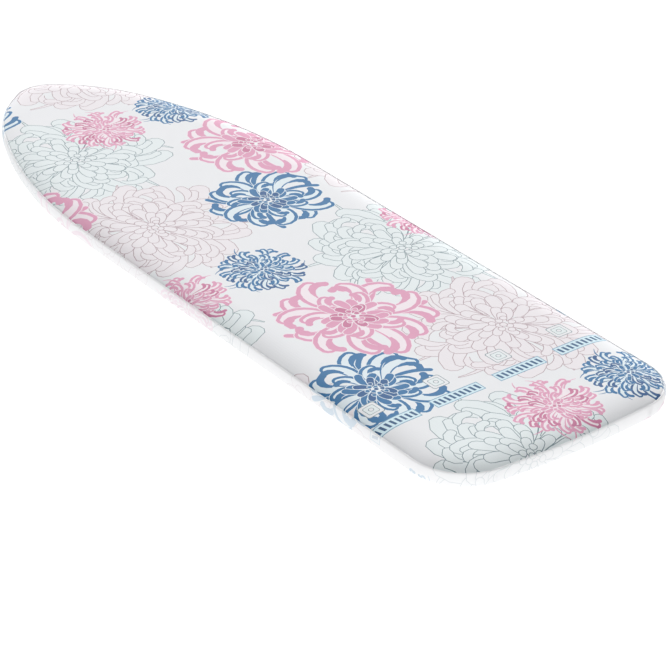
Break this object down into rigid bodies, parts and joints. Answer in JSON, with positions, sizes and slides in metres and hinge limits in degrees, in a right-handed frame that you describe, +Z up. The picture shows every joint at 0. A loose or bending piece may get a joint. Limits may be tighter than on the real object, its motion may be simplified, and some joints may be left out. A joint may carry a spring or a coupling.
{
  "type": "ironing board",
  "caption": "Folding ironing board with a padded printed cotton cover over a perforated steel top, crossed tube legs and a sliding height lock.",
  "frame": {"origin": "on the floor under the middle of the folded board", "axes": "+X along the board towards the square end, +Y across it, +Z up out of the ironing surface"},
  "size_m": [1.4, 0.427, 0.059],
  "materials": {
    "printed_cotton": "plain weave cotton, printed with curly flowers in blue, pink and pale teal line",
    "felt": "soft needled felt",
    "sheet_steel": "satin powder coat on perforated sheet",
    "elastic": "ribbed woven elastic",
    "frame_paint": "satin powder coat",
    "leg_paint": "satin powder coat",
    "zinc_steel": "bright zinc plating",
    "spring_steel": "drawn wire",
    "grey_plastic": "fine moulded texture",
    "slider_plastic": "glass filled nylon, satin"
  },
  "bodies": {
    "board": {"cover": "printed_cotton", "felt_pad": "felt", "steam_sheet": "sheet_steel", "rim": "frame_paint", "hem_elastic": "elastic", "cross_bar_front": "frame_paint", "cross_bar_middle": "frame_paint", "cross_bar_rear": "frame_paint", "pivot_bracket_left": "frame_paint", "pivot_bracket_right": "frame_paint", "pivot_bolts": "zinc_steel", "pivot_nuts": "zinc_steel", "guide_rod": "zinc_steel", "guide_bracket_front": "frame_paint", "guide_bracket_rear": "frame_paint", "guide_rod_clips": "zinc_steel", "stop_collar": "zinc_steel"},
    "outer_leg": {"outer_tube_left": "leg_paint", "outer_tube_right": "leg_paint", "outer_foot_tube": "leg_paint", "outer_foot_cap_left": "grey_plastic", "outer_foot_cap_right": "grey_plastic", "outer_tube_plugs": "grey_plastic", "outer_brace_upper": "leg_paint", "outer_brace_lower": "leg_paint", "outer_brace_rivets": "zinc_steel", "crossing_bolts": "zinc_steel", "crossing_nuts": "zinc_steel", "crossing_spacers": "grey_plastic"},
    "inner_leg": {"inner_tube_left": "leg_paint", "inner_tube_right": "leg_paint", "inner_foot_tube": "leg_paint", "inner_foot_cap_left": "grey_plastic", "inner_foot_cap_right": "grey_plastic", "inner_tube_plugs": "grey_plastic", "inner_brace": "leg_paint", "slider_axle": "zinc_steel", "slider_axle_nuts": "grey_plastic", "slider_axle_spacers": "grey_plastic"},
    "slider": {"slider_block": "slider_plastic", "lever_spring": "spring_steel"},
    "lever": {"clamp_plate": "zinc_steel", "lever_wire": "zinc_steel", "lever_grip": "grey_plastic", "lever_clip": "zinc_steel"}
  },
  "joints": [
    {"name": "outer_leg_fold", "type": "hinge", "parent": "board", "child": "outer_leg", "pos_m": [-0.36, 0, 0.015], "axis": [0, 1, 0], "range_deg": [0, 56]},
    {"name": "inner_leg_fold", "type": "hinge", "parent": "outer_leg", "child": "inner_leg", "pos_m": [0.112, 0, 0.015], "axis": [0, 1, 0], "range_deg": [-112, 0]},
    {"name": "slider_hinge", "type": "hinge", "parent": "inner_leg", "child": "slider", "pos_m": [0.584, 0, 0.015], "axis": [0, 1, 0], "range_deg": [0, 56]},
    {"name": "lever_squeeze", "type": "hinge", "parent": "slider", "child": "lever", "pos_m": [0.605, 0, 0.031], "axis": [0, 1, 0], "range_deg": [0, 10], "stiffness_Nm_per_rad": 1.2, "springref_deg": -8.59}
  ],
  "couplings": [
    {"joint": "inner_leg_fold", "follows": "outer_leg_fold", "ratio": -2},
    {"joint": "slider_hinge", "follows": "outer_leg_fold", "ratio": 1}
  ]
}
